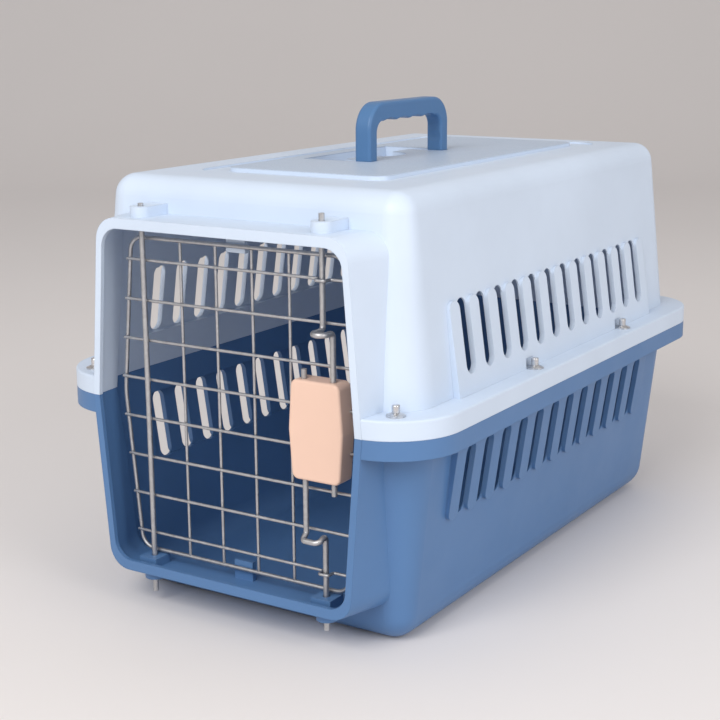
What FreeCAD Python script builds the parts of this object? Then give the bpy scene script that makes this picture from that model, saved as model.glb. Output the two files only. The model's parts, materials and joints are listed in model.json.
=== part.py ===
import FreeCAD, Part
import Sketcher
import math
import os
import re

doc = FreeCAD.newDocument("pet_carrier")
sheet = doc.addObject("Spreadsheet::Sheet", "sizes")

# Driving sizes in millimetres and degrees.
# Heights named rise are measured from the joint between the two shells.
SIZES = {
    # Shells and the flange where they meet
    "flange_width": 318,
    "flange_length": 500,
    "flange_height": 13.5,
    "flange_radius": 50,
    "joint_height": 157,
    "roof_height": 312,
    "wall_inset": 19,
    "front_inset": 21,
    "wall": 3,
    "upper_draft": 5.8,
    "lower_draft": 6,
    "roof_round": 16,
    "floor_round": 22,
    "edge_round": 1.5,
    # Collar around the doorway
    "lip_reach": 15,
    "lip_depth": 3.5,
    "lip_joint_half": 114.5,
    "lip_end_half": 104,
    "lip_rise": 129.5,
    "collar_joint_half": 119,
    "collar_end_half": 117,
    "collar_depth": 41,
    "collar_wall": 3,
    "collar_round": 17,
    "mouth_joint_half": 109,
    "mouth_end_half": 99.5,
    "mouth_rise": 122,
    "mouth_round": 14,
    # Sockets for the door rods
    "rod_half_spacing": 76,
    "rod_radius": 2,
    "rod_hole_gap": 0.4,
    "boss_radius": 7.5,
    "boss_height": 7.5,
    "block_half": 8,
    "block_rise": 120,
    "stop_width": 16,
    "stop_gap": 0.6,
    "stop_depth": 4,
    "stop_overlap": 5,
    # Vent slots and the ribs between them
    "slot_count": 12,
    "slot_pitch": 27,
    "slot_width": 13.5,
    "slot_first": 83,
    "upper_slot_near_rise": 27,
    "upper_slot_far_rise": 78.5,
    "upper_bar_far_rise": 79.5,
    "lower_slot_near_rise": 22,
    "lower_slot_far_rise": 74,
    "lower_bar_far_rise": 76.5,
    "panel_near_proud": 5.5,
    "panel_far_proud": 2.7,
    "panel_bite": 0.1,
    "rib_depth": 4.2,
    "rib_round_share": 0.47,
    # Raised plateau of the roof and the shallow channel around it
    "tier_inset": 46,
    "tier_step": 17,
    "tier_round": 20,
    "channel_depth": 1.5,
    "plateau_rise": 1.6,
    "plateau_edge_round": 0.8,
    # Carry handle and the well it folds into
    "handle_offset": 229,
    "handle_length": 121,
    "handle_width": 14,
    "leg_thickness": 11.5,
    "grip_thickness": 14.5,
    "handle_rise": 43.8,
    "handle_corner": 21,
    "handle_inner_corner": 9,
    "handle_edge_round": 2.5,
    "leg_end_share": 0.49,
    "pivot_depth": 8.5,
    "pin_radius": 3,
    "pin_length": 5,
    "pin_gap": 0.06,
    "well_gap": 0.6,
    "well_end_gap": 1.5,
    "well_depth": 17,
    "well_finger_room": 15,
    "well_wall": 8,
    "scoop_radius": 22,
    "scallop_count": 4,
    "scallop_radius": 20,
    "scallop_depth": 2.2,
    # Bolts through the flange
    "front_bolt_x": 129,
    "rear_bolt_x": 98,
    "front_bolt_inset": 18.5,
    "rear_bolt_inset": 11.5,
    "side_bolt_x": 147.5,
    "front_bolt_offset": 169,
    "rear_bolt_offset": 332,
    "stud_radius": 2.75,
    "stud_rise": 8,
    "stud_hole_gap": 0.3,
    "bolt_head_radius": 5.5,
    "bolt_head_height": 3,
    "bolt_post_radius": 6,
    "push_nut_radius": 6.5,
    "push_nut_thickness": 1,
    "push_nut_dish": 1.6,
    "nut_seat_gap": 0.8,
    "nut_seat_height": 7.5,
    # Door grille
    "frame_wire_radius": 1.5,
    "grille_wire_radius": 1.1,
    "weld_bite": 0.25,
    "frame_joint_half": 101.5,
    "frame_end_half": 90.5,
    "frame_top_rise": 114,
    "frame_foot_rise": 117.5,
    "frame_corner": 11,
    "wire_overhang": 0.8,
    "frame_side_bend": 60,
    "cross_count": 8,
    "cross_top_rise": 98.4,
    "cross_pitch": 28.86,
    "upright_count": 4,
    "upright_pitch": 30.7,
    "hinge_top_rise": 139,
    "hinge_foot_rise": 148,
    "guide_half": 3.9,
    "guide_bend": 2,
    # Spring latch
    "latch_set_forward": 0.6,
    "slide_gap": 0.35,
    "latch_x": 74.2,
    "latch_half": 19,
    "latch_middle_half": 21.5,
    "latch_top_rise": 32,
    "latch_foot_rise": 37,
    "latch_front": 9.5,
    "latch_back_depth": 3.2,
    "latch_wall": 2.5,
    "latch_front_wall": 2,
    "latch_corner": 5,
    "latch_edge_round": 2,
    "wire_notch_gap": 0.05,
    "bar_half_spacing": 11.6,
    "bar_set_forward": 3.8,
    "upper_tip_rise": 142,
    "upper_loop_rise": 65,
    "upper_stub_rise": 46,
    "loop_reach": 15.5,
    "loop_bend": 3.5,
    "loop_turn_share": 0.49,
    "lower_tip_rise": 144.7,
    "lower_loop_rise": 76,
    "lower_loop_reach": 9,
    "lower_loop_drop": 4,
    "lower_stub_rise": 38.4,
    "lower_bend": 2.6,
    "lower_turn_bend": 4.2,
    "ear_radius": 3.3,
    "ear_height": 1.5,
    "ear_gap": 0.4,
    "spring_outer_radius": 3.3,
    "spring_wall": 1,
    "screw_radius": 1.2,
    "screw_head_radius": 2.4,
    "screw_head_height": 1.2,
    "screw_length": 7,
    "screw_post_radius": 3,
    "screw_gap": 0.05,
    "stud_tip_round": 1.2,
}

# Sizes that follow from the driving ones
DERIVED = {
    "loop_overhang": "loop_reach + rod_radius - lip_reach",
    "front_y": "-(flange_length - loop_overhang) / 2",
    "rear_y": "(flange_length + loop_overhang) / 2",
    "rod_y": "front_y + lip_reach",
    "flange_half": "flange_width / 2",
    "wall_half": "flange_half - wall_inset",
    "wall_front": "front_y + front_inset",
    "wall_rear": "rear_y - wall_inset",
    "wall_radius": "flange_radius - wall_inset",
    "inner_radius": "wall_radius - wall",
    "roof_rise": "roof_height - joint_height",
    "boss_rise": "lip_rise + boss_height",
    "rod_hole_radius": "rod_radius + rod_hole_gap",
    "bar_width": "slot_pitch - slot_width",
    "slot_start": "rod_y + slot_first",
    "panel_slope": "(panel_near_proud - panel_far_proud) / (upper_bar_far_rise - flange_height)",
    "panel_tilt": "atan(panel_slope) / 1 deg",
    "panel_half": "wall_half + panel_near_proud + flange_height * panel_slope",
    "plateau_height": "roof_height + plateau_rise",
    "tier_half": "flange_half - tier_inset - wall_inset - tier_step / 2",
    "handle_y": "rod_y + handle_offset",
    "handle_half": "handle_length / 2",
    "handle_top": "plateau_height + handle_rise",
    "grip_foot": "handle_top - grip_thickness",
    "pivot_height": "plateau_height - pivot_depth",
    "handle_foot": "pivot_height - handle_width / 2",
    "leg_inner_half": "handle_half - leg_thickness",
    "well_half": "handle_half + well_gap",
    "well_foot": "plateau_height - well_depth",
    "well_far_x": "handle_top - pivot_height + well_end_gap",
    "well_near_x": "well_far_x - grip_thickness - well_end_gap - well_finger_room",
    "well_rear_x": "handle_width / 2 + well_gap",
    "rear_bolt_y": "rear_y - rear_bolt_inset",
    "front_bolt_y": "front_y + front_bolt_inset",
    "stud_hole_radius": "stud_radius + stud_hole_gap",
    "cross_y": "rod_y + rod_radius + grille_wire_radius - weld_bite",
    "frame_y": "cross_y + grille_wire_radius + frame_wire_radius - weld_bite",
    "upright_y": "cross_y + 2 * grille_wire_radius - weld_bite",
    "latch_rod_y": "rod_y - latch_set_forward",
    "bar_y": "rod_y - bar_set_forward",
    "guide_y": "latch_rod_y - rod_radius - grille_wire_radius - slide_gap",
    "latch_front_y": "rod_y - latch_front",
    "latch_back_y": "cross_y + latch_back_depth",
    "cavity_top_rise": "latch_top_rise - latch_wall",
    "cavity_foot_rise": "latch_foot_rise - latch_wall",
    "cavity_half": "latch_half - latch_wall",
    "slide_hole_radius": "rod_radius + slide_gap",
    "upper_bar_x": "latch_x + bar_half_spacing",
    "lower_bar_x": "latch_x - bar_half_spacing",
    "ear_top_rise": "cavity_top_rise - ear_gap",
    "ear_foot_rise": "cavity_foot_rise - ear_gap",
    "screw_top_rise": "cavity_top_rise - screw_post_radius / 2",
    "screw_foot_rise": "cavity_foot_rise - screw_post_radius / 2",
}


def load_sizes():
    row = 0
    for name, number in SIZES.items():
        row += 1
        sheet.set("A%d" % row, name)
        sheet.set("B%d" % row, str(number))
        sheet.setAlias("B%d" % row, name)
    for name, formula in DERIVED.items():
        row += 1
        sheet.set("A%d" % row, name)
        sheet.set("B%d" % row, "=" + formula)
        sheet.setAlias("B%d" % row, name)
    doc.recompute()


NAMES = set(SIZES) | set(DERIVED)


def ex(text):
    """The same formula with each size written as a cell of the sheet."""
    def cell(match):
        word = match.group()
        return "sizes." + word if word in NAMES else word
    return re.sub(r"[a-z][a-z_0-9]*", cell, str(text))


def val(text):
    result = sheet.evalExpression(ex(text))
    return float(getattr(result, "Value", result))


def bind(item, prop, text):
    item.setExpression(prop, ex(text))


load_sizes()
COUNTS = ("slot_count", "cross_count", "upright_count", "scallop_count")
count_of = {name: int(round(val(name))) for name in COUNTS}


# Sketches
def sketch_on(body, name, role, offset, rise=None, tilt=None):
    sketch = body.newObject("Sketcher::SketchObject", name)
    plane = [item for item in body.Origin.OriginFeatures if item.Role == role][0]
    sketch.AttachmentSupport = [(plane, "")]
    sketch.MapMode = "FlatFace"
    bind(sketch, "AttachmentOffset.Base.z", offset)
    if rise:
        bind(sketch, "AttachmentOffset.Base.y", rise)
    if tilt:
        about_x = FreeCAD.Rotation(FreeCAD.Vector(1, 0, 0), 1)
        sketch.AttachmentOffset = FreeCAD.Placement(FreeCAD.Vector(), about_x)
        bind(sketch, "AttachmentOffset.Rotation.Angle", tilt)
    sketch.Visibility = False
    return sketch


def hold(sketch, kind, parts, text):
    index = sketch.addConstraint(Sketcher.Constraint(kind, *parts, val(text)))
    sketch.setExpression("Constraints[%d]" % index, ex(text))


def hold_point(sketch, line, end, across, along):
    hold(sketch, "DistanceX", (-1, 1, line, end), across)
    hold(sketch, "DistanceY", (-1, 1, line, end), along)


def point(across, along):
    return FreeCAD.Vector(across, along, 0)


def polygon(sketch, corners):
    first = sketch.GeometryCount
    points = [point(val(a), val(b)) for a, b in corners]
    count = len(points)
    for i in range(count):
        sketch.addGeometry(Part.LineSegment(points[i], points[(i + 1) % count]), False)
    for i in range(count):
        sketch.addConstraint(Sketcher.Constraint("Coincident", first + i, 2, first + (i + 1) % count, 1))
    for i, (across, along) in enumerate(corners):
        hold_point(sketch, first + i, 1, across, along)


def rounded_polygon(sketch, corners, radius):
    """Closed outline of named corners; those marked True are rounded with one radius."""
    points = [point(val(a), val(b)) for a, b, _ in corners]
    count = len(points)
    r = val(radius)
    ends = []
    for i, (here, (_, _, is_round)) in enumerate(zip(points, corners)):
        back = (points[i - 1] - here).normalize()
        ahead = (points[(i + 1) % count] - here).normalize()
        reach = r / math.tan(back.getAngle(ahead) / 2) if is_round else 0
        ends.append((here + back * reach, here + ahead * reach, (back + ahead).normalize()))
    lines = []
    for i in range(count):
        lines.append(sketch.addGeometry(Part.LineSegment(ends[i][1], ends[(i + 1) % count][0]), False))
    for i, (across, along, is_round) in enumerate(corners):
        before, after = lines[i - 1], lines[i]
        if not is_round:
            sketch.addConstraint(Sketcher.Constraint("Coincident", before, 2, after, 1))
            hold_point(sketch, after, 1, across, along)
            continue
        start, end, inward = ends[i]
        half_turn = start.distanceToPoint(end) / 2
        centre = points[i] + inward * math.hypot(r, start.distanceToPoint(points[i]))
        bend = sketch.addGeometry(Part.ArcOfCircle(start, centre - inward * r, end), False)
        turned = sketch.getPoint(bend, 1).distanceToPoint(start) > half_turn
        heads = (2, 1) if turned else (1, 2)
        sketch.addConstraint(Sketcher.Constraint("Tangent", before, 2, bend, heads[0]))
        sketch.addConstraint(Sketcher.Constraint("Tangent", bend, heads[1], after, 1))
        hold(sketch, "Radius", (bend,), radius)
        corner = sketch.addGeometry(Part.Point(points[i]), True)
        hold_point(sketch, corner, 1, across, along)
        sketch.addConstraint(Sketcher.Constraint("PointOnObject", corner, 1, before))
        sketch.addConstraint(Sketcher.Constraint("PointOnObject", corner, 1, after))


def arc(centre, radius, start, through, end):
    middle_point = centre + (through - centre).normalize() * radius
    return Part.ArcOfCircle(start, middle_point, end)


def rounded_rectangle(sketch, half, start, end, radius):
    h, a, b, r = val(half), val(start), val(end), val(radius)
    first = sketch.GeometryCount
    corners = [point(h, a), point(h, b), point(-h, b), point(-h, a)]
    ways = [point(1, 0), point(0, 1), point(-1, 0), point(0, -1)]
    for i, corner in enumerate(corners):
        before = corners[i - 1]
        way, turn = ways[i], ways[(i + 1) % 4]
        sketch.addGeometry(Part.LineSegment(before + way * r, corner - way * r), False)
        centre = corner - way * r + turn * r
        sketch.addGeometry(arc(centre, r, corner - way * r, corner, corner + turn * r), False)
    for i in range(4):
        line = first + 2 * i
        following = first + (2 * i + 2) % 8
        sketch.addConstraint(Sketcher.Constraint("Tangent", line, 2, line + 1, 1))
        sketch.addConstraint(Sketcher.Constraint("Tangent", line + 1, 2, following, 1))
        sketch.addConstraint(Sketcher.Constraint("Vertical" if i % 2 else "Horizontal", line))
        if i:
            sketch.addConstraint(Sketcher.Constraint("Equal", first + 1, line + 1))
    hold(sketch, "Radius", (first + 1,), radius)
    hold(sketch, "DistanceY", (-1, 1, first, 1), start)
    hold(sketch, "DistanceX", (-1, 1, first + 2, 1), half)
    hold(sketch, "DistanceY", (-1, 1, first + 4, 1), end)
    hold(sketch, "DistanceX", (-1, 1, first + 6, 1), "-(%s)" % half)


def stadium(sketch, centre, half, start, end):
    c, h, a, b = val(centre), val(half), val(start), val(end)
    first = sketch.GeometryCount
    near, far = point(c, a + h), point(c, b - h)
    side, up = point(h, 0), point(0, h)
    sketch.addGeometry(Part.LineSegment(near + side, far + side), False)
    sketch.addGeometry(arc(far, h, far + side, far + up, far - side), False)
    sketch.addGeometry(Part.LineSegment(far - side, near - side), False)
    sketch.addGeometry(arc(near, h, near - side, near - up, near + side), False)
    for i in range(4):
        sketch.addConstraint(Sketcher.Constraint("Tangent", first + i, 2, first + (i + 1) % 4, 1))
    for i, place in ((1, "(%s) - (%s)" % (end, half)), (3, "(%s) + (%s)" % (start, half))):
        hold(sketch, "Radius", (first + i,), half)
        hold_point(sketch, first + i, 3, centre, place)


def circles(sketch, radius, places):
    for across, along in places:
        circle = Part.Circle(point(val(across), val(along)), FreeCAD.Vector(0, 0, 1), val(radius))
        ring = sketch.addGeometry(circle, False)
        hold(sketch, "Radius", (ring,), radius)
        hold_point(sketch, ring, 3, across, along)


# Features
def new_body(name):
    body = doc.addObject("PartDesign::Body", name)
    body.Label = name
    return body


def pad(body, name, sketch, length, backward=False, taper=None, cut=False, both_ways=False):
    feature = body.newObject("PartDesign::Pocket" if cut else "PartDesign::Pad", name)
    feature.Profile = sketch
    bind(feature, "Length", length)
    feature.Reversed = backward
    feature.SideType = "Symmetric" if both_ways else "One side"
    feature.Refine = False
    if taper:
        bind(feature, "TaperAngle", taper)
    return feature


def loft(body, name, first, second, cut=False):
    feature = body.newObject("PartDesign::SubtractiveLoft" if cut else "PartDesign::AdditiveLoft", name)
    feature.Profile = first
    feature.Sections = [second]
    feature.Ruled = True
    feature.Refine = False
    return feature


def solid(body, kind, name, sizes, place, turn=None):
    feature = body.newObject("PartDesign::" + kind, name)
    feature.Refine = False
    for prop, text in sizes.items():
        bind(feature, prop, text)
    if turn:
        feature.Placement = FreeCAD.Placement(FreeCAD.Vector(), turn)
    for axis, text in zip("xyz", place):
        bind(feature, "Placement.Base." + axis, text)
    return feature


def box(body, name, low, high, cut=False):
    sizes = {"Length": "(%s) - (%s)" % (high[0], low[0]),
             "Width": "(%s) - (%s)" % (high[1], low[1]),
             "Height": "(%s) - (%s)" % (high[2], low[2])}
    return solid(body, "SubtractiveBox" if cut else "AdditiveBox", name, sizes, low)


ALONG_X = FreeCAD.Rotation(FreeCAD.Vector(0, 0, 1), FreeCAD.Vector(1, 0, 0))
ALONG_Y = FreeCAD.Rotation(FreeCAD.Vector(0, 0, 1), FreeCAD.Vector(0, 1, 0))


def post(body, name, radius, foot, height, cut=False, turn=None):
    sizes = {"Radius": radius, "Height": height}
    return solid(body, "SubtractiveCylinder" if cut else "AdditiveCylinder", name, sizes, foot, turn)


def round_edges(body, name, feature, radius, chosen):
    doc.recompute()
    names = []
    for i, edge in enumerate(feature.Shape.Edges):
        if chosen(edge):
            names.append("Edge%d" % (i + 1))
    rounding = body.newObject("PartDesign::Fillet", name)
    rounding.Base = (feature, names)
    rounding.Refine = False
    bind(rounding, "Radius", radius)
    return rounding


def mirror(body, name, features):
    copy = body.newObject("PartDesign::Mirrored", name)
    copy.Originals = features
    plane = [item for item in body.Origin.OriginFeatures if item.Role == "YZ_Plane"][0]
    copy.MirrorPlane = (plane, [""])
    copy.Refine = False
    body.Tip = copy
    return copy


near_enough = val("wall") / 50


def all_near(edge, axis, value):
    places = [v.Point for v in edge.Vertexes]
    places.append(edge.valueAt((edge.FirstParameter + edge.LastParameter) / 2))
    return all(abs(getattr(place, axis) - value) < near_enough for place in places)


BOLT_PLACES = [("%s%s" % (side, x), y)
               for side in ("", "-")
               for x, y in (("front_bolt_x", "front_bolt_y"),
                            ("side_bolt_x", "rod_y + front_bolt_offset"),
                            ("side_bolt_x", "rod_y + rear_bolt_offset"),
                            ("rear_bolt_x", "rear_bolt_y"))]


# Shells
def rise_in(sign):
    return lambda text: "joint_height %s (%s)" % (sign, text)


def cabin(body, name, sign, depth, draft):
    """Tapered space inside the walls, cut from the joint to the given depth."""
    inner = sketch_on(body, name + "_outline", "XY_Plane", "joint_height")
    rounded_rectangle(inner, "wall_half - wall", "wall_front + wall", "wall_rear - wall", "inner_radius")
    return pad(body, name, inner, depth, backward=sign == "+", taper="-" + draft, cut=True)


def walls(body, sign, height, draft, rounding):
    """Tapered hollow form whose far edge is rounded inside and outside."""
    outline = sketch_on(body, "outline", "XY_Plane", "joint_height")
    rounded_rectangle(outline, "wall_half", "wall_front", "wall_rear", "wall_radius")
    pad(body, "form", outline, height, backward=sign == "-", taper="-" + draft)
    space = cabin(body, "cabin", sign, height + " - wall", draft)
    inside = val(rise_in(sign)(height + " - wall"))
    rounded = round_edges(body, "cabin_edge", space, rounding + " - wall",
                          lambda edge: all_near(edge, "z", inside))
    outside = val(rise_in(sign)(height))
    round_edges(body, "far_edge", rounded, rounding, lambda edge: all_near(edge, "z", outside))


def flange(body, sign):
    """Turned rim around the joint: a flat ledge with a skirt, hollow between skirt and wall."""
    upper = sign == "+"
    outline = sketch_on(body, "rim_outline", "XY_Plane", "joint_height")
    rounded_rectangle(outline, "flange_half", "front_y", "rear_y", "flange_radius")
    rounded_rectangle(outline, "wall_half - wall / 2", "wall_front + wall / 2", "wall_rear - wall / 2",
                      "wall_radius - wall / 2")
    rim = pad(body, "flange", outline, "flange_height", backward=not upper)
    face = val(rise_in(sign)("flange_height"))
    if upper:
        round_edges(body, "flange_edge", rim, "edge_round", lambda edge: all_near(edge, "z", face)
                    and on_rim(edge))
    start = "joint_height" if upper else "joint_height - flange_height"
    gutter = sketch_on(body, "gutter_outline", "XY_Plane", start)
    rounded_rectangle(gutter, "flange_half - wall", "front_y + wall", "rear_y - wall", "flange_radius - wall")
    rounded_rectangle(gutter, "wall_half", "wall_front", "wall_rear", "wall_radius")
    pad(body, "gutter", gutter, "flange_height - wall", backward=True, cut=True)
    if upper:
        posts = sketch_on(body, "post_outline", "XY_Plane", "joint_height")
        circles(posts, "bolt_post_radius", BOLT_PLACES)
        pad(body, "bolt_posts", posts, "flange_height - wall / 2")


def on_rim(edge):
    """True for edges on the outer outline of the flange."""
    box_of = edge.BoundBox
    wide = max(abs(box_of.XMin), abs(box_of.XMax)) > val("flange_half") - near_enough
    long = box_of.YMin < val("front_y") + near_enough or box_of.YMax > val("rear_y") - near_enough
    return wide or long


def front_outline(body, name, depth, joint_half, end_half, end_rise, sign, radius):
    """Half outline of the doorway seen from the front, open to the joint and rounded at its far corners."""
    sketch = sketch_on(body, name, "XZ_Plane", "-(front_y + %s)" % depth)
    end = rise_in(sign)(end_rise)
    left_joint, left_end = ("-(%s)" % text for text in (joint_half, end_half))
    rounded_polygon(sketch, [(left_joint, "joint_height", False), (joint_half, "joint_height", False),
                             (end_half, end, True), (left_end, end, True)], radius)
    return sketch


def collar(body, sign):
    lip = front_outline(body, "lip_outline", "0 * wall", "lip_joint_half", "lip_end_half",
                        "lip_rise", sign, "collar_round")
    foot = front_outline(body, "collar_foot", "collar_depth", "collar_joint_half", "collar_end_half",
                         "lip_rise", sign, "collar_round")
    loft(body, "collar", lip, foot)


def sockets(body, sign, draft):
    """Bosses that carry the door rods, each drawn back as an arm into the front wall."""
    foot = rise_in(sign)("lip_rise - collar_wall / 2")
    outline = sketch_on(body, "boss_outline", "XY_Plane", foot)
    for x in ("-rod_half_spacing", "rod_half_spacing"):
        stadium(outline, x, "boss_radius", "rod_y - boss_radius",
                "wall_front + boss_radius + lip_rise * tan(%s)" % draft)
    pad(body, "bosses", outline, "boss_height + collar_wall / 2", backward=sign == "-")


def ribs(body, sign, draft):
    """Raised comb on both sides, hollow behind: a strip along the flange and ribs between the slots."""
    upper = sign == "+"
    way, half = ("", "upper_") if upper else ("-", "lower_")
    lean = "%s(%s + panel_tilt)" % ("-" if upper else "", draft)
    rises = ("flange_height - wall / 2", half + "slot_near_rise + bar_width / 2", half + "bar_far_rise")
    foot, root, tip = (way + "(%s)" % text for text in rises)
    corners = []
    for i in range(count_of["slot_count"] + 1):
        centre = "slot_start + (%d - 1 / 2) * slot_pitch" % i
        sides = (centre + " - bar_width / 2", centre + " + bar_width / 2")
        corners += [(sides[0], root, False), (sides[0], tip, True),
                    (sides[1], tip, True), (sides[1], root, False)]
    corners[0] = (corners[0][0], foot, False)
    corners[-1] = (corners[-1][0], foot, False)
    outline = sketch_on(body, "rib_outline", "YZ_Plane", "panel_half", rise="joint_height", tilt=lean)
    rounded_polygon(outline, corners, "rib_round_share * bar_width")
    raised = pad(body, "ribs", outline, "panel_near_proud + panel_bite", backward=True)
    inside = sketch_on(body, "hollow_outline", "YZ_Plane", "panel_half - rib_depth", rise="joint_height",
                       tilt=lean)
    ends = ("slot_start - slot_pitch / 2", "slot_start + (slot_count - 1 / 2) * slot_pitch")
    near, far = (way + half + text for text in ("slot_near_rise", "slot_far_rise"))
    polygon(inside, [(ends[0], near), (ends[1], near), (ends[1], far), (ends[0], far)])
    hollow = pad(body, "rib_hollow", inside, "panel_near_proud + wall", cut=True)
    mirror(body, "far_side_ribs", [raised, hollow])


def doorway(body, sign):
    end = ("lip_rise - collar_wall", sign, "collar_round - collar_wall")
    near = front_outline(body, "channel_front", "lip_depth",
                         "lip_joint_half - collar_wall", "lip_end_half - collar_wall", *end)
    deep = front_outline(body, "channel_back", "collar_depth + collar_wall",
                         "collar_joint_half - collar_wall", "collar_end_half - collar_wall", *end)
    loft(body, "channel", near, deep, cut=True)
    opening = front_outline(body, "mouth_outline", "-wall", "mouth_joint_half", "mouth_end_half",
                            "mouth_rise", sign, "mouth_round")
    pad(body, "mouth", opening, "wall + lip_depth + collar_wall", cut=True)


def vents(body, sign):
    upper = sign == "+"
    rise = rise_in(sign)
    slots = sketch_on(body, "slot_outline", "YZ_Plane", "0 * wall")
    low, high = ("lower_slot_far_rise", "lower_slot_near_rise")
    if upper:
        low, high = ("upper_slot_near_rise", "upper_slot_far_rise")
    for i in range(count_of["slot_count"]):
        stadium(slots, "slot_start + %d * slot_pitch" % i, "slot_width / 2", rise(low), rise(high))
    pad(body, "slots", slots, "flange_width", cut=True, both_ways=True)


def holes(body, sign):
    upper = sign == "+"
    rise = rise_in(sign)
    bolts = sketch_on(body, "bolt_hole_outline", "XY_Plane", "joint_height")
    circles(bolts, "stud_hole_radius", BOLT_PLACES)
    pad(body, "bolt_holes", bolts, "flange_height + wall", backward=upper, cut=True)
    rods = sketch_on(body, "rod_hole_outline", "XY_Plane", rise("block_rise - wall"))
    circles(rods, "rod_hole_radius", [("-rod_half_spacing", "rod_y"), ("rod_half_spacing", "latch_rod_y")])
    pad(body, "rod_holes", rods, "boss_rise - block_rise + 2 * wall", backward=upper, cut=True)


def nut_seats(body):
    """Round recesses in the foot of the side combs that make room for the push nuts."""
    seats = sketch_on(body, "nut_seat_outline", "XY_Plane", "joint_height + flange_height")
    circles(seats, "push_nut_radius + nut_seat_gap", [place for place in BOLT_PLACES if "side" in place[0]])
    pad(body, "nut_seats", seats, "nut_seat_height", backward=True, cut=True)


def stop(body, sign, frame_rise):
    rise = rise_in(sign)
    low, high = ("%s - stop_overlap" % frame_rise, "lip_rise - collar_wall / 2")
    near = "frame_y + frame_wire_radius + stop_gap"
    heights = (rise(low), rise(high)) if sign == "+" else (rise(high), rise(low))
    box(body, "door_stop", ("-stop_width / 2", near, heights[0]),
        ("stop_width / 2", near + " + stop_depth", heights[1]))


def lower_shell():
    body = new_body("lower_shell")
    walls(body, "-", "joint_height", "lower_draft", "floor_round")
    flange(body, "-")
    collar(body, "-")
    sockets(body, "-", "lower_draft")
    cabin(body, "trim", "-", "joint_height - floor_round", "lower_draft")
    doorway(body, "-")
    blocks = sketch_on(body, "block_outline", "XY_Plane", rise_in("-")("block_rise"))
    for x in ("-rod_half_spacing", "rod_half_spacing"):
        sides = (x + " - block_half", x + " + block_half")
        polygon(blocks, [(sides[0], "rod_y - block_half"), (sides[1], "rod_y - block_half"),
                         (sides[1], "rod_y + block_half"), (sides[0], "rod_y + block_half")])
    pad(body, "blocks", blocks, "lip_rise - block_rise - collar_wall / 2", backward=True)
    stop(body, "-", "frame_foot_rise")
    holes(body, "-")
    ribs(body, "-", "lower_draft")
    vents(body, "-")
    return body


def handle_well(body):
    """Block under the roof, with the well that takes the folded handle and its pivot holes."""
    under = "roof_height - wall / 2"
    box(body, "well_block", ("-well_far_x - wall", "handle_y - well_half - well_wall", "well_foot - wall"),
        ("well_rear_x + wall", "handle_y + well_half + well_wall", under))
    well = sketch_on(body, "well_outline", "XY_Plane", "plateau_height")
    outer = ("handle_y - well_half", "handle_y + well_half")
    inner = ("handle_y - leg_inner_half + well_gap", "handle_y + leg_inner_half - well_gap")
    polygon(well, [("-well_far_x", outer[0]), ("well_rear_x", outer[0]), ("well_rear_x", inner[0]),
                   ("-well_near_x", inner[0]), ("-well_near_x", inner[1]), ("well_rear_x", inner[1]),
                   ("well_rear_x", outer[1]), ("-well_far_x", outer[1])])
    pad(body, "well", well, "well_depth", cut=True)
    post(body, "finger_scoop", "scoop_radius", ("-well_near_x", "handle_y", "well_foot"),
         "2 * well_depth", cut=True)
    post(body, "pivot_holes", "pin_radius + pin_gap",
         ("0 * wall", "handle_y - handle_half - pin_length - well_gap", "pivot_height"),
         "2 * (handle_half + pin_length + well_gap)", cut=True, turn=ALONG_Y)


def tier_outline(sketch, inset):
    rounded_rectangle(sketch, "tier_half - " + inset, "wall_front + tier_inset + tier_step + " + inset,
                      "wall_rear - tier_inset - " + inset, "tier_round - (%s) / 2" % inset)


def plateau(body):
    """Flat raised middle of the roof, set off by a shallow channel."""
    ring = sketch_on(body, "roof_channel_outline", "XY_Plane", "roof_height")
    tier_outline(ring, "0 * wall")
    tier_outline(ring, "tier_step")
    pad(body, "roof_channel", ring, "channel_depth", cut=True)
    middle = sketch_on(body, "plateau_outline", "XY_Plane", "roof_height - wall / 2")
    tier_outline(middle, "tier_step")
    raised = pad(body, "plateau", middle, "wall / 2 + plateau_rise")
    top = val("plateau_height")
    round_edges(body, "plateau_edge", raised, "plateau_edge_round", lambda edge: all_near(edge, "z", top))


def upper_shell():
    body = new_body("upper_shell")
    walls(body, "+", "roof_rise", "upper_draft", "roof_round")
    flange(body, "+")
    collar(body, "+")
    sockets(body, "+", "upper_draft")
    plateau(body)
    cabin(body, "trim", "+", "roof_rise - roof_round", "upper_draft")
    doorway(body, "+")
    stop(body, "+", "frame_top_rise")
    holes(body, "+")
    handle_well(body)
    ribs(body, "+", "upper_draft")
    vents(body, "+")
    nut_seats(body)
    return body


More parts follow.
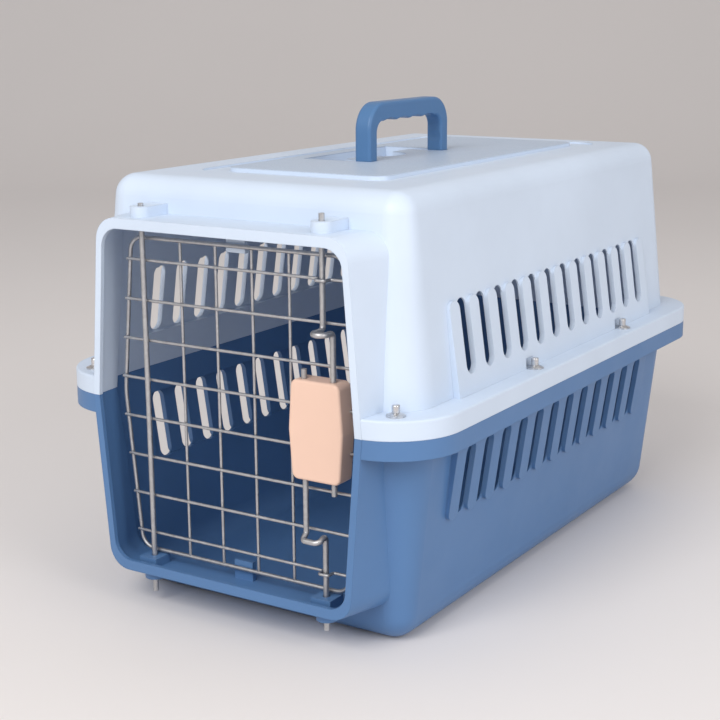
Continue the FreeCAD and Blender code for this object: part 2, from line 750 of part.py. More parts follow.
# Carry handle
def carry_handle():
    body = new_body("carry_handle")
    outline = sketch_on(body, "handle_outline", "YZ_Plane", "0 * wall")
    outer = ("handle_y - handle_half", "handle_y + handle_half")
    inner = ("handle_y - leg_inner_half", "handle_y + leg_inner_half")
    polygon(outline, [(outer[0], "handle_foot"), (outer[0], "handle_top"), (outer[1], "handle_top"),
                      (outer[1], "handle_foot"), (inner[1], "handle_foot"), (inner[1], "grip_foot"),
                      (inner[0], "grip_foot"), (inner[0], "handle_foot")])
    bar = pad(body, "bar", outline, "handle_width", both_ways=True)
    top, under, foot = val("handle_top"), val("grip_foot"), val("handle_foot")
    width = val("handle_width")

    def across(edge, height):
        return edge.BoundBox.XLength > width / 2 and all_near(edge, "z", height)

    bends = round_edges(body, "outer_bends", bar, "handle_corner", lambda edge: across(edge, top))
    bends = round_edges(body, "inner_bends", bends, "handle_inner_corner", lambda edge: across(edge, under))
    feet = round_edges(body, "leg_ends", bends, "leg_end_share * handle_width",
                       lambda edge: all_near(edge, "z", foot) and edge.BoundBox.YLength > width / 2)
    round_edges(body, "soft_edges", feet, "handle_edge_round", lambda edge: all_near(edge, "x", width / 2)
                or all_near(edge, "x", -width / 2))
    pitch = "2 * leg_inner_half / (scallop_count + 1)"
    for i in range(count_of["scallop_count"]):
        place = "handle_y + (%d - (scallop_count - 1) / 2) * %s" % (i, pitch)
        post(body, "scallop_%d" % i, "scallop_radius",
             ("-handle_width", place, "grip_foot + scallop_depth - scallop_radius"),
             "2 * handle_width", cut=True, turn=ALONG_X)
    for name, side in (("front", "-handle_half - pin_length"), ("rear", "handle_half - pin_length")):
        post(body, name + "_pin", "pin_radius", ("0 * wall", "handle_y + " + side, "pivot_height"),
             "2 * pin_length", turn=ALONG_Y)
    return body


# Wires and rods
def spot(across, along, height):
    return FreeCAD.Vector(val(across), val(along), val(height))


def straight_wire(name, radius, foot, length, turn=None):
    wire = doc.addObject("Part::Cylinder", name)
    wire.Label = name
    bind(wire, "Radius", radius)
    bind(wire, "Height", length)
    if turn:
        wire.Placement = FreeCAD.Placement(FreeCAD.Vector(), turn)
    for axis, text in zip("xyz", foot):
        bind(wire, "Placement.Base." + axis, text)
    return wire


def bent_wire(points, bends, radius, closed=False):
    """Round wire along straight runs, bent at each inner point with its own centre-line radius."""
    if closed:
        start = (points[0] + points[-1]) * 0.5
        points = [start] + points + [start]
    edges = []
    last = points[0]
    for before, here, after, bend in zip(points, points[1:], points[2:], bends):
        back = (before - here).normalize()
        ahead = (after - here).normalize()
        reach = bend / math.tan(back.getAngle(ahead) / 2)
        inward = (back + ahead).normalize()
        apex = here + inward * (math.hypot(bend, reach) - bend)
        edges.append(Part.makeLine(last, here + back * reach))
        edges.append(Part.Arc(here + back * reach, apex, here + ahead * reach).toShape())
        last = here + ahead * reach
    edges.append(Part.makeLine(last, points[-1]))
    path = Part.Wire(edges)
    ring = Part.Wire([Part.makeCircle(radius, points[0], points[1] - points[0])])
    return path.makePipeShell([ring], True, False)


def code_shape(name, shape):
    item = doc.addObject("Part::Feature", name)
    item.Label = name
    item.Shape = shape
    return item


def door_frame_wire():
    sides = (("frame_end_half", "joint_height + frame_top_rise"), ("frame_joint_half", "joint_height"),
             ("frame_end_half", "joint_height - frame_foot_rise"))
    right = [spot(x, "frame_y", z) for x, z in sides]
    left = [spot("-" + x, "frame_y", z) for x, z in reversed(sides)]
    bends = [val(text) for text in ("frame_corner", "frame_side_bend", "frame_corner")] * 2
    code_shape("door_frame_wire", bent_wire(right + left, bends, val("frame_wire_radius"), closed=True))


def cross_wires():
    for i in range(count_of["cross_count"]):
        rise = "(cross_top_rise - %d * cross_pitch)" % i
        end = "frame_top_rise" if val(rise) > 0 else "frame_foot_rise"
        narrowing = "(frame_joint_half - frame_end_half) * abs(%s) / %s" % (rise, end)
        half = "(frame_joint_half - %s + wire_overhang)" % narrowing
        height = "joint_height + " + rise
        name = "cross_wire_%d" % (i + 1)
        if 0 < i < count_of["cross_count"] - 1:
            straight_wire(name, "grille_wire_radius", ("-" + half, "cross_y", height), "2 * " + half, ALONG_X)
            continue
        near, far = "rod_half_spacing - guide_half", "rod_half_spacing + guide_half"
        run = [("-" + half, "cross_y"), (near, "cross_y"), (near, "guide_y"),
               (far, "guide_y"), (far, "cross_y"), (half, "cross_y")]
        points = [spot(x, y, height) for x, y in run]
        code_shape(name, bent_wire(points, [val("guide_bend")] * 4, val("grille_wire_radius")))


def upright_wires():
    inset = "frame_wire_radius - weld_bite"
    for i in range(count_of["upright_count"]):
        place = "(%d - (upright_count - 1) / 2) * upright_pitch" % i
        straight_wire("upright_wire_%d" % (i + 1), "grille_wire_radius",
                      (place, "upright_y", "joint_height - frame_foot_rise + " + inset),
                      "frame_top_rise + frame_foot_rise - 2 * (%s)" % inset)


def hinge_rod():
    straight_wire("hinge_rod", "rod_radius", ("-rod_half_spacing", "rod_y", "joint_height - hinge_foot_rise"),
                  "hinge_top_rise + hinge_foot_rise")


def ear(x, foot):
    return Part.makeCylinder(val("ear_radius"), val("ear_height"), spot(x, "bar_y", foot))


def upper_latch_rod():
    loop = "joint_height + upper_loop_rise"
    tip = "rod_y - loop_reach"
    points = [spot("rod_half_spacing", "latch_rod_y", "joint_height + upper_tip_rise"),
              spot("rod_half_spacing", "latch_rod_y", loop),
              spot("rod_half_spacing", tip, loop),
              spot("upper_bar_x", tip, loop),
              spot("upper_bar_x", "bar_y", loop),
              spot("upper_bar_x", "bar_y", "joint_height - upper_stub_rise")]
    turn = val("(upper_bar_x - rod_half_spacing) * loop_turn_share")
    bends = [val("loop_bend"), turn, turn, val("loop_bend")]
    rod = bent_wire(points, bends, val("rod_radius"))
    code_shape("upper_latch_rod", rod.fuse(ear("upper_bar_x", "joint_height + ear_top_rise - ear_height")))


def lower_latch_rod():
    loop = "joint_height - lower_loop_rise"
    low = loop + " - lower_loop_drop"
    tip = "rod_y - lower_loop_reach"
    points = [spot("rod_half_spacing", "latch_rod_y", "joint_height - lower_tip_rise"),
              spot("rod_half_spacing", "latch_rod_y", loop),
              spot("rod_half_spacing", tip, low),
              spot("lower_bar_x", tip, low),
              spot("lower_bar_x", "bar_y", loop),
              spot("lower_bar_x", "bar_y", "joint_height + lower_stub_rise")]
    bends = [val(text) for text in ("lower_bend", "lower_turn_bend", "lower_bend", "lower_bend")]
    rod = bent_wire(points, bends, val("rod_radius"))
    code_shape("lower_latch_rod", rod.fuse(ear("lower_bar_x", "joint_height - ear_foot_rise")))


# Latch block
def latch_outline(body, name, depth):
    sketch = sketch_on(body, name, "XZ_Plane", "-(%s)" % depth)
    foot, top = "joint_height - latch_foot_rise", "joint_height + latch_top_rise"
    belly = "joint_height + (latch_top_rise - latch_foot_rise) / 2"
    right = [("latch_x + latch_half", foot, True), ("latch_x + latch_middle_half", belly, False),
             ("latch_x + latch_half", top, True)]
    left = [("latch_x - latch_half", top, True), ("latch_x - latch_middle_half", belly, False),
            ("latch_x - latch_half", foot, True)]
    rounded_polygon(sketch, right + left, "latch_corner")
    return sketch


LATCH_SCREWS = [("latch_x", "joint_height + screw_top_rise"), ("latch_x", "joint_height - screw_foot_rise")]


def wire_notches(body):
    for i in (3, 4):
        post(body, "wire_notch_%d" % i, "grille_wire_radius + wire_notch_gap",
             ("latch_x - 2 * latch_half", "cross_y", "joint_height + cross_top_rise - %d * cross_pitch" % i),
             "4 * latch_half", cut=True, turn=ALONG_X)


def latch_cover():
    body = new_body("latch_cover")
    outline = latch_outline(body, "cover_outline", "latch_front_y")
    form = pad(body, "cover", outline, "cross_y - latch_front_y", backward=True)
    front = val("latch_front_y")
    round_edges(body, "cover_edge", form, "latch_edge_round", lambda edge: all_near(edge, "y", front))
    room = sketch_on(body, "cavity_outline", "XZ_Plane", "-cross_y")
    sides = ("latch_x - cavity_half", "latch_x + cavity_half")
    ends = ("joint_height - cavity_foot_rise", "joint_height + cavity_top_rise")
    polygon(room, [(sides[0], ends[0]), (sides[1], ends[0]), (sides[1], ends[1]), (sides[0], ends[1])])
    depth = "cross_y - latch_front_y - latch_front_wall"
    pad(body, "cavity", room, depth, backward=True, cut=True)
    posts = sketch_on(body, "screw_post_outline", "XZ_Plane", "-cross_y")
    circles(posts, "screw_post_radius", LATCH_SCREWS)
    pad(body, "screw_posts", posts, depth + " + latch_front_wall / 2")
    bores = sketch_on(body, "screw_bore_outline", "XZ_Plane", "-cross_y")
    circles(bores, "screw_radius + screw_gap", LATCH_SCREWS)
    pad(body, "screw_bores", bores, "screw_length", backward=True, cut=True)
    wire_notches(body)
    for name, x in (("upper", "upper_bar_x"), ("lower", "lower_bar_x")):
        post(body, name + "_bar_hole", "slide_hole_radius",
             (x, "bar_y", "joint_height - 2 * latch_foot_rise"),
             "2 * (latch_foot_rise + latch_top_rise)", cut=True)
    return body


def latch_back():
    body = new_body("latch_back")
    outline = latch_outline(body, "plate_outline", "cross_y")
    form = pad(body, "plate", outline, "latch_back_depth", backward=True)
    back = val("latch_back_y")
    round_edges(body, "plate_edge", form, "latch_edge_round / 2", lambda edge: all_near(edge, "y", back))
    bores = sketch_on(body, "screw_bore_outline", "XZ_Plane", "-cross_y")
    circles(bores, "screw_radius + screw_gap", LATCH_SCREWS)
    pad(body, "screw_bores", bores, "latch_back_depth", cut=True)
    seats = sketch_on(body, "screw_seat_outline", "XZ_Plane", "-latch_back_y")
    circles(seats, "screw_head_radius + slide_gap", LATCH_SCREWS)
    pad(body, "screw_seats", seats, "screw_head_height", backward=True, cut=True)
    wire_notches(body)
    return body


def latch_screws():
    into = FreeCAD.Vector(0, -1, 0)
    screws = []
    for x, z in LATCH_SCREWS:
        start = spot(x, "latch_back_y", z)
        head = Part.makeCylinder(val("screw_head_radius"), val("screw_head_height"), start, into)
        shank = Part.makeCylinder(val("screw_radius"), val("screw_length"), start, into)
        screws.append(head.fuse(shank).removeSplitter())
    code_shape("latch_screws", Part.makeCompound(screws))


def spring(name, x, foot, top):
    body = new_body(name)
    outline = sketch_on(body, "coil_outline", "XY_Plane", foot)
    circles(outline, "spring_outer_radius", [(x, "bar_y")])
    circles(outline, "spring_outer_radius - spring_wall", [(x, "bar_y")])
    pad(body, "coil", outline, "(%s) - (%s)" % (top, foot))
    return body


def latch_springs():
    spring("upper_latch_spring", "upper_bar_x",
           "joint_height - cavity_foot_rise", "joint_height + ear_top_rise - ear_height")
    spring("lower_latch_spring", "lower_bar_x",
           "joint_height - ear_foot_rise + ear_height", "joint_height + cavity_top_rise")


# Bolts and push nuts
def flange_bolts():
    bolts = []
    for x, y in BOLT_PLACES:
        head = Part.makeCylinder(val("bolt_head_radius"), val("bolt_head_height"),
                                 spot(x, y, "joint_height - wall - bolt_head_height"))
        stud = Part.makeCylinder(val("stud_radius"), val("wall + flange_height + stud_rise"),
                                 spot(x, y, "joint_height - wall"))
        top = val("joint_height + flange_height + stud_rise")
        tip = [edge for edge in stud.Edges if all_near(edge, "z", top)]
        bolts.append(head.fuse(stud.makeFillet(val("stud_tip_round"), tip)))
    code_shape("flange_bolts", Part.makeCompound(bolts))


def push_nuts():
    nuts = []
    for x, y in BOLT_PLACES:
        inner, outer = "stud_radius + screw_gap", "push_nut_radius"
        section = [(inner, "push_nut_dish"), (outer, "0 * wall"), (outer, "push_nut_thickness"),
                   (inner, "push_nut_dish + push_nut_thickness")]
        centre = spot(x, y, "joint_height + flange_height")
        ring = [centre + spot(r, "0 * wall", z) for r, z in section]
        face = Part.Face(Part.makePolygon(ring + ring[:1]))
        nuts.append(face.revolve(centre, FreeCAD.Vector(0, 0, 1), FULL_TURN))
    code_shape("push_nuts", Part.makeCompound(nuts))


FULL_TURN = 360
PIECES = (carry_handle, door_frame_wire, cross_wires, upright_wires, hinge_rod,
          upper_latch_rod, lower_latch_rod, latch_cover, latch_back, latch_screws,
          latch_springs, flange_bolts, push_nuts)


def write_parts():
    doc.recompute()
    os.makedirs("parts", exist_ok=True)
    for item in doc.Objects:
        if "Invalid" in item.State or "Error" in item.State:
            raise RuntimeError("%s did not build: %s" % (item.Label, item.getStatusString()))
    bodies = [item for item in doc.Objects if item.TypeId == "PartDesign::Body"]
    inside = {member.Name for body in bodies for member in body.Group}
    for item in doc.Objects:
        helper = item.TypeId.startswith(("App::", "Spreadsheet::"))
        if helper or item.Name in inside or not hasattr(item, "Shape"):
            continue
        if item.Shape.isNull() or not item.Shape.isValid():
            raise RuntimeError("%s has no valid shape" % item.Label)
        item.Shape.exportStep("parts/%s.step" % item.Label)
        print(item.Label, len(item.Shape.Solids), round(item.Shape.Volume))


lower_shell()
upper_shell()
for make in PIECES:
    make()
write_parts()
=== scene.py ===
import json
import math

import bpy
from mathutils import Matrix, Vector


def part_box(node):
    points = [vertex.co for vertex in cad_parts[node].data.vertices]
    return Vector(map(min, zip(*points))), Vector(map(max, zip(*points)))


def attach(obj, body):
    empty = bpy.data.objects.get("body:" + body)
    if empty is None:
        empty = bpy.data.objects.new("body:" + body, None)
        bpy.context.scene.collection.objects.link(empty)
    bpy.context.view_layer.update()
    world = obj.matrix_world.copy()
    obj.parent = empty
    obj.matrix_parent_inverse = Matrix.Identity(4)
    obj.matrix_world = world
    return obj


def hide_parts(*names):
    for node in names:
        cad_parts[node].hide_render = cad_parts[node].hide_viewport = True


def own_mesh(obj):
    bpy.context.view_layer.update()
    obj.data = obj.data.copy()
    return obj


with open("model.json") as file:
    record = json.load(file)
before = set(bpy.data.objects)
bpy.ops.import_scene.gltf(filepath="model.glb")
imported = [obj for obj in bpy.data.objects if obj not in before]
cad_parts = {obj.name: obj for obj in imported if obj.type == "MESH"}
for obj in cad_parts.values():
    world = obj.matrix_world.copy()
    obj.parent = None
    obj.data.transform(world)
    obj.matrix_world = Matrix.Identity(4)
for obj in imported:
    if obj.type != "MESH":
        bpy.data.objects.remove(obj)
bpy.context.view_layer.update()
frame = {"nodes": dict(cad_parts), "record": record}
nodes = frame["nodes"]

MM = 0.001

# Colours of the moulded plastics and the metal, as linear values
BLUE = (0.090, 0.200, 0.410)
PALE = (0.630, 0.730, 0.870)
GRAINED = (0.485, 0.580, 0.715)
HANDLE_BLUE = (0.078, 0.190, 0.385)
PEACH = (0.810, 0.565, 0.450)
STEEL = (0.560, 0.560, 0.570)
ZINC = (0.680, 0.680, 0.690)
FLOOR = (0.830, 0.800, 0.790)

# The lid's plateau is grained from just under its top edge
LID_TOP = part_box("upper_shell")[1][2]
GRAIN_START = LID_TOP - 0.8 * MM
GRAIN_FULL = LID_TOP - 0.4 * MM

# Range of a noise value that is stretched to the full range of an effect
NOISE_LOW = 0.3
NOISE_HIGH = 0.7

# Plastic: noise scales per metre
MOTTLE_SCALE = 9.0
PATCH_SCALE = 14.0
CLOUD_SCALE = 22.0
WAVE_SCALE = 28.0
FINE_SCALE = 1500.0
HAIR_A_STRETCH = (14.0, 900.0, 900.0)
HAIR_A_TURN = (0.3, 0.9, 0.4)
HAIR_B_STRETCH = (700.0, 16.0, 700.0)
HAIR_B_TURN = (0.5, 0.2, 0.8)

# Plastic: limits and strengths
MOTTLE_DARK = 0.96
MOTTLE_LIGHT = 1.04
HAIR_A_LIMITS = (0.70, 0.76)
HAIR_B_LIMITS = (0.71, 0.77)
PATCH_LIMITS = (0.5, 0.68)
CLOUD_LIMITS = (0.25, 0.75)
SMOOTHER = 0.06
ROUGHER = 0.08
SCRATCH_LIGHT = 1.35
SCRATCH_ROUGHNESS = 0.2
FINE_STRENGTH = 0.10
FINE_DEPTH = 0.12 * MM
WAVE_STRENGTH = 0.05
WAVE_DEPTH = 1.5 * MM
SHELL_EDGE = 0.8 * MM
LATCH_EDGE = 0.5 * MM
EDGE_SAMPLES = 4
PLASTIC_IOR = 1.49
PLASTIC_SPECULAR = 0.45

# Grain of the plateau
SPECKLE_SCALE = 650.0
SPECKLE_LIMITS = (0.35, 0.65)
SPECKLE_DARK = 0.95
SPECKLE_LIGHT = 1.05
LEATHER_SCALE = 700.0
LEATHER_STRENGTH = 0.28
LEATHER_DEPTH = 0.4 * MM

# Metal
STREAK_STRETCH = (300.0, 300.0, 300.0)
STREAK_DARK = 0.88
STREAK_LIGHT = 1.08
STREAK_STRENGTH = 0.12
STREAK_DEPTH = 0.1 * MM
STREAK_SMOOTHER = 0.05
STREAK_ROUGHER = 0.07
TARNISH_SCALE = 60.0
TARNISH_LIMITS = (0.42, 0.66)
TARNISH_AMOUNT = 0.6
TARNISH_ROUGHNESS = 0.12

# Studio floor
FLOOR_CLOUD_SCALE = 1.2
FLOOR_DARK = 0.99
FLOOR_LIGHT = 1.01
FLOOR_GRAIN_SCALE = 40.0
FLOOR_ROUGHNESS = (0.6, 0.7)
FLOOR_SPECULAR = 0.2

# Sockets of the colour form of the mix node
MIX_FACTOR = 0
MIX_FIRST = 6
MIX_SECOND = 7
MIX_RESULT = 2


class Graph:
    """Small helper around the node tree of one material."""

    def __init__(self, name):
        self.material = bpy.data.materials.new(name)
        self.material.use_nodes = True
        self.tree = self.material.node_tree
        self.shader = self.tree.nodes["Principled BSDF"]

    def add(self, kind, **values):
        node = self.tree.nodes.new(kind)
        for key, value in values.items():
            setattr(node, key, value)
        return node

    def link(self, source, target):
        self.tree.links.new(source, target)

    def place(self):
        return self.add("ShaderNodeTexCoord").outputs["Object"]

    def noise(self, vector, scale, detail=4.0, rough=0.55):
        node = self.add("ShaderNodeTexNoise")
        node.inputs["Scale"].default_value = scale
        node.inputs["Detail"].default_value = detail
        node.inputs["Roughness"].default_value = rough
        self.link(vector, node.inputs["Vector"])
        return node.outputs["Fac"]

    def stretch(self, vector, scale, turn=(0.0, 0.0, 0.0)):
        node = self.add("ShaderNodeMapping")
        node.inputs["Scale"].default_value = scale
        node.inputs["Rotation"].default_value = turn
        self.link(vector, node.inputs["Vector"])
        return node.outputs["Vector"]

    def ramp(self, value, low, high, start=0.0, end=1.0):
        node = self.add("ShaderNodeMapRange")
        node.inputs["From Min"].default_value = low
        node.inputs["From Max"].default_value = high
        node.inputs["To Min"].default_value = start
        node.inputs["To Max"].default_value = end
        self.link(value, node.inputs["Value"])
        return node.outputs["Result"]

    def math(self, operation, first, second):
        node = self.add("ShaderNodeMath", operation=operation)
        for socket, value in zip(node.inputs, (first, second)):
            if isinstance(value, (int, float)):
                socket.default_value = value
            else:
                self.link(value, socket)
        return node.outputs[0]

    def mix(self, factor, first, second):
        node = self.add("ShaderNodeMix", data_type="RGBA")
        if isinstance(factor, (int, float)):
            node.inputs[MIX_FACTOR].default_value = factor
        else:
            self.link(factor, node.inputs[MIX_FACTOR])
        for socket, value in ((node.inputs[MIX_FIRST], first), (node.inputs[MIX_SECOND], second)):
            if isinstance(value, tuple):
                socket.default_value = value + (1.0,)
            else:
                self.link(value, socket)
        return node.outputs[MIX_RESULT]

    def bump(self, height, strength, distance, normal=None):
        node = self.add("ShaderNodeBump")
        node.inputs["Strength"].default_value = strength
        node.inputs["Distance"].default_value = distance
        self.link(height, node.inputs["Height"])
        if normal is not None:
            self.link(normal, node.inputs["Normal"])
        return node.outputs["Normal"]

    def soft_edges(self, radius):
        node = self.add("ShaderNodeBevel", samples=EDGE_SAMPLES)
        node.inputs["Radius"].default_value = radius
        return node.outputs["Normal"]


def shade(color, factor):
    return tuple(min(1.0, channel * factor) for channel in color)


def plastic(name, color, roughness, grain=1.0, wear=0.25, edge=SHELL_EDGE):
    """Moulded plastic with faint mottling, fine grain and hairline scratches in scuffed patches."""
    g = Graph(name)
    place = g.place()
    mottle = g.ramp(g.noise(place, MOTTLE_SCALE), NOISE_LOW, NOISE_HIGH)
    base = g.mix(mottle, shade(color, MOTTLE_DARK), shade(color, MOTTLE_LIGHT))
    hair_a = g.noise(g.stretch(place, HAIR_A_STRETCH, HAIR_A_TURN), 1.0, 2.0)
    hair_b = g.noise(g.stretch(place, HAIR_B_STRETCH, HAIR_B_TURN), 1.0, 2.0)
    hairs = g.math("MAXIMUM", g.ramp(hair_a, *HAIR_A_LIMITS), g.ramp(hair_b, *HAIR_B_LIMITS))
    patches = g.ramp(g.noise(place, PATCH_SCALE, 3.0), *PATCH_LIMITS)
    scratches = g.math("MULTIPLY", hairs, patches)
    worn = g.mix(g.math("MULTIPLY", scratches, wear), base, shade(color, SCRATCH_LIGHT))
    g.link(worn, g.shader.inputs["Base Color"])
    cloud = g.ramp(g.noise(place, CLOUD_SCALE, 5.0), *CLOUD_LIMITS, roughness - SMOOTHER, roughness + ROUGHER)
    rough = g.math("ADD", cloud, g.math("MULTIPLY", scratches, SCRATCH_ROUGHNESS))
    g.link(rough, g.shader.inputs["Roughness"])
    fine = g.noise(place, FINE_SCALE, 2.0)
    wave = g.noise(place, WAVE_SCALE, 2.0)
    normal = g.bump(fine, FINE_STRENGTH * grain, FINE_DEPTH, g.soft_edges(edge))
    normal = g.bump(wave, WAVE_STRENGTH, WAVE_DEPTH, normal)
    g.link(normal, g.shader.inputs["Normal"])
    g.shader.inputs["IOR"].default_value = PLASTIC_IOR
    g.shader.inputs["Specular IOR Level"].default_value = PLASTIC_SPECULAR
    return g


def lid_plastic():
    """The pale lid has a finely grained, slightly greyer plateau in the middle of its roof."""
    g = plastic("lid plastic", PALE, 0.42)
    place = g.place()
    split = g.add("ShaderNodeSeparateXYZ")
    g.link(place, split.inputs["Vector"])
    above = g.ramp(split.outputs["Z"], GRAIN_START, GRAIN_FULL)
    shader = g.shader
    color = shader.inputs["Base Color"].links[0].from_socket
    speckle = g.ramp(g.noise(place, SPECKLE_SCALE, 3.0), *SPECKLE_LIMITS)
    grained = g.mix(speckle, shade(GRAINED, SPECKLE_DARK), shade(GRAINED, SPECKLE_LIGHT))
    g.link(g.mix(above, color, grained), shader.inputs["Base Color"])
    normal = shader.inputs["Normal"].links[0].from_socket
    height = g.math("MULTIPLY", g.noise(place, LEATHER_SCALE, 3.0), above)
    g.link(g.bump(height, LEATHER_STRENGTH, LEATHER_DEPTH, normal), shader.inputs["Normal"])
    return g.material


def metal(name, color, roughness, tarnish):
    """Plated steel with drawing marks and darker tarnished patches."""
    g = Graph(name)
    place = g.place()
    streaks = g.noise(g.stretch(place, STREAK_STRETCH), 1.0, 3.0)
    patches = g.ramp(g.noise(place, TARNISH_SCALE), *TARNISH_LIMITS)
    streaked = g.ramp(streaks, NOISE_LOW, NOISE_HIGH)
    base = g.mix(streaked, shade(color, STREAK_DARK), shade(color, STREAK_LIGHT))
    worn = g.mix(g.math("MULTIPLY", patches, TARNISH_AMOUNT), base, shade(color, tarnish))
    g.link(worn, g.shader.inputs["Base Color"])
    smooth, coarse = roughness - STREAK_SMOOTHER, roughness + STREAK_ROUGHER
    drawn = g.ramp(streaks, NOISE_LOW, NOISE_HIGH, smooth, coarse)
    rough = g.math("ADD", drawn, g.math("MULTIPLY", patches, TARNISH_ROUGHNESS))
    g.link(rough, g.shader.inputs["Roughness"])
    g.link(g.bump(streaks, STREAK_STRENGTH, STREAK_DEPTH), g.shader.inputs["Normal"])
    g.shader.inputs["Metallic"].default_value = 1.0
    return g.material


def floor_material():
    g = Graph("studio floor")
    place = g.place()
    cloud = g.ramp(g.noise(place, FLOOR_CLOUD_SCALE, 2.0), NOISE_LOW, NOISE_HIGH)
    color = g.mix(cloud, shade(FLOOR, FLOOR_DARK), shade(FLOOR, FLOOR_LIGHT))
    g.link(color, g.shader.inputs["Base Color"])
    rough = g.ramp(g.noise(place, FLOOR_GRAIN_SCALE), NOISE_LOW, NOISE_HIGH, *FLOOR_ROUGHNESS)
    g.link(rough, g.shader.inputs["Roughness"])
    g.shader.inputs["Specular IOR Level"].default_value = FLOOR_SPECULAR
    return g.material


# Materials on the nodes
MATERIALS = {
    "blue_plastic": plastic("tub plastic", BLUE, 0.40).material,
    "pale_plastic": lid_plastic(),
    "handle_plastic": plastic("handle plastic", HANDLE_BLUE, 0.38, grain=1.4, wear=0.4).material,
    "peach_plastic": plastic("latch plastic", PEACH, 0.40, edge=LATCH_EDGE).material,
    "steel_wire": metal("steel wire", STEEL, 0.42, tarnish=0.82),
    "zinc": metal("zinc plate", ZINC, 0.24, tarnish=0.8),
}
slots = {item["node"]: item["material_slot"] for item in frame["record"]["subparts"]}
for name, node in nodes.items():
    node.data.materials.clear()
    node.data.materials.append(MATERIALS[slots[name]])


# Wound springs inside the latch block, pressed together by their rods
COIL_TURNS = 11
COIL_STEPS = 20
RING_STEPS = 8
COIL_WIRE = 0.45 * MM
COIL_CLEARANCE = 0.3 * MM


def coil_mesh(name, low, high):
    """Round wire wound between the two end faces of the plain CAD tube."""
    centre = (low + high) / 2
    radius = (high.x - low.x) / 2 - COIL_WIRE
    start, rise = low.z + COIL_WIRE, high.z - low.z - 2 * COIL_WIRE - COIL_CLEARANCE
    count = COIL_TURNS * COIL_STEPS
    points = []
    for i in range(count + 1):
        angle = 2 * math.pi * i / COIL_STEPS
        out = Vector((math.cos(angle), math.sin(angle), 0))
        middle = Vector((centre.x, centre.y, start + rise * i / count)) + out * radius
        for k in range(RING_STEPS):
            around = 2 * math.pi * k / RING_STEPS
            points.append(middle + (out * math.cos(around) + Vector((0, 0, math.sin(around)))) * COIL_WIRE)
    faces = []
    for i in range(count):
        for k in range(RING_STEPS):
            here, there = i * RING_STEPS, (i + 1) * RING_STEPS
            after = (k + 1) % RING_STEPS
            faces.append((here + k, here + after, there + after, there + k))
    faces.append(tuple(reversed(range(RING_STEPS))))
    faces.append(tuple(range(count * RING_STEPS, (count + 1) * RING_STEPS)))
    mesh = bpy.data.meshes.new(name)
    mesh.from_pydata(points, [], faces)
    mesh.shade_smooth()
    return mesh


def latch_coil(name):
    low, high = (Vector(corner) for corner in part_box(name + "_spring"))
    coil = bpy.data.objects.new(name + "_coil", coil_mesh(name + "_coil", low, high))
    bpy.context.scene.collection.objects.link(coil)
    coil.data.materials.append(MATERIALS["steel_wire"])
    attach(coil, "door")
    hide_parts(name + "_spring")
    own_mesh(coil)


latch_coil("upper_latch")
latch_coil("lower_latch")


# Floor that curves up into a wall behind the object, seen square on by the camera
YAW, PITCH, ROLL = (math.radians(angle) for angle in (32.52, 13.24, -0.40))
FLOOR_REACH = 30.0
CURVE_START = 2.4
CURVE_RADIUS = 1.6
WALL_TOP = 5.0
HALF_WIDTH = 30.0
CURVE_STEPS = 32


def backdrop():
    angles = [math.pi / 2 * i / CURVE_STEPS for i in range(CURVE_STEPS + 1)]
    profile = [(-FLOOR_REACH, 0.0)]
    for angle in angles:
        out = CURVE_START + CURVE_RADIUS * math.sin(angle)
        profile.append((out, CURVE_RADIUS * (1 - math.cos(angle))))
    profile.append((CURVE_START + CURVE_RADIUS, WALL_TOP))
    across = Vector((math.cos(YAW), math.sin(YAW), 0)) * HALF_WIDTH
    away = Vector((-math.sin(YAW), math.cos(YAW), 0))
    points = []
    for out, height in profile:
        middle = away * out + Vector((0, 0, height))
        points += [middle - across, middle + across]
    faces = [(2 * i, 2 * i + 1, 2 * i + 3, 2 * i + 2) for i in range(len(profile) - 1)]
    mesh = bpy.data.meshes.new("studio_floor")
    mesh.from_pydata(points, [], faces)
    mesh.shade_smooth()
    mesh.materials.append(floor_material())
    item = bpy.data.objects.new("studio_floor", mesh)
    bpy.context.scene.collection.objects.link(item)


backdrop()


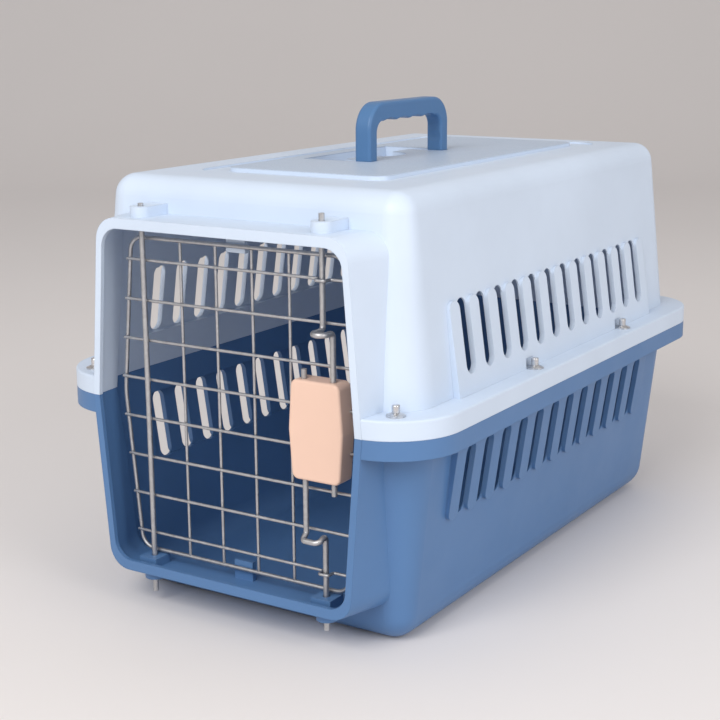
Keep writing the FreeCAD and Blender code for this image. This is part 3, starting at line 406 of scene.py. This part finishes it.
# Light
def area_light(name, place, target, size, power, color):
    lamp = bpy.data.lights.new(name, "AREA")
    lamp.shape = "SQUARE"
    lamp.size = size
    lamp.energy = power
    lamp.color = color
    item = bpy.data.objects.new(name, lamp)
    bpy.context.scene.collection.objects.link(item)
    item.location = place
    item.rotation_euler = (Vector(target) - Vector(place)).to_track_quat("-Z", "Y").to_euler()


BODY_MIDDLE = (0, 0, 0.15)
LID_MIDDLE = (0, 0.05, 0.2)
WORLD_COLOR = (0.93, 0.91, 0.91, 1.0)
WORLD_STRENGTH = 0.52

area_light("key", place=(0.1, -2.1, 1.7), target=BODY_MIDDLE, size=1.4, power=38, color=(1.0, 0.98, 0.96))
area_light("side", place=(2.3, -0.5, 1.2), target=BODY_MIDDLE, size=1.6, power=21, color=(1.0, 0.98, 0.97))
area_light("top", place=(0.2, 0.6, 2.4), target=LID_MIDDLE, size=1.8, power=3, color=(1.0, 0.99, 0.98))

world = bpy.data.worlds.new("studio")
world.use_nodes = True
background = world.node_tree.nodes["Background"]
background.inputs["Color"].default_value = WORLD_COLOR
background.inputs["Strength"].default_value = WORLD_STRENGTH
bpy.context.scene.world = world


# Camera at the photo's angle
EYE = Vector((0.6034, -1.0169, 0.4240))
LENS = 73.9
SENSOR_WIDTH = 36
CLIP_START = 0.05

right = Vector((math.cos(YAW), math.sin(YAW), 0))
ahead = Vector((-math.sin(YAW) * math.cos(PITCH), math.cos(YAW) * math.cos(PITCH), -math.sin(PITCH)))
up = right.cross(ahead)
turned_right = right * math.cos(ROLL) + up * math.sin(ROLL)
turned_up = up * math.cos(ROLL) - right * math.sin(ROLL)
lens = bpy.data.cameras.new("camera")
lens.lens = LENS
lens.sensor_width = SENSOR_WIDTH
lens.clip_start = CLIP_START
camera = bpy.data.objects.new("camera", lens)
bpy.context.scene.collection.objects.link(camera)
turn = Matrix((turned_right, turned_up, -ahead)).transposed().to_4x4()
camera.matrix_world = Matrix.Translation(EYE) @ turn
bpy.context.scene.camera = camera

bpy.context.scene.view_settings.view_transform = "Standard"
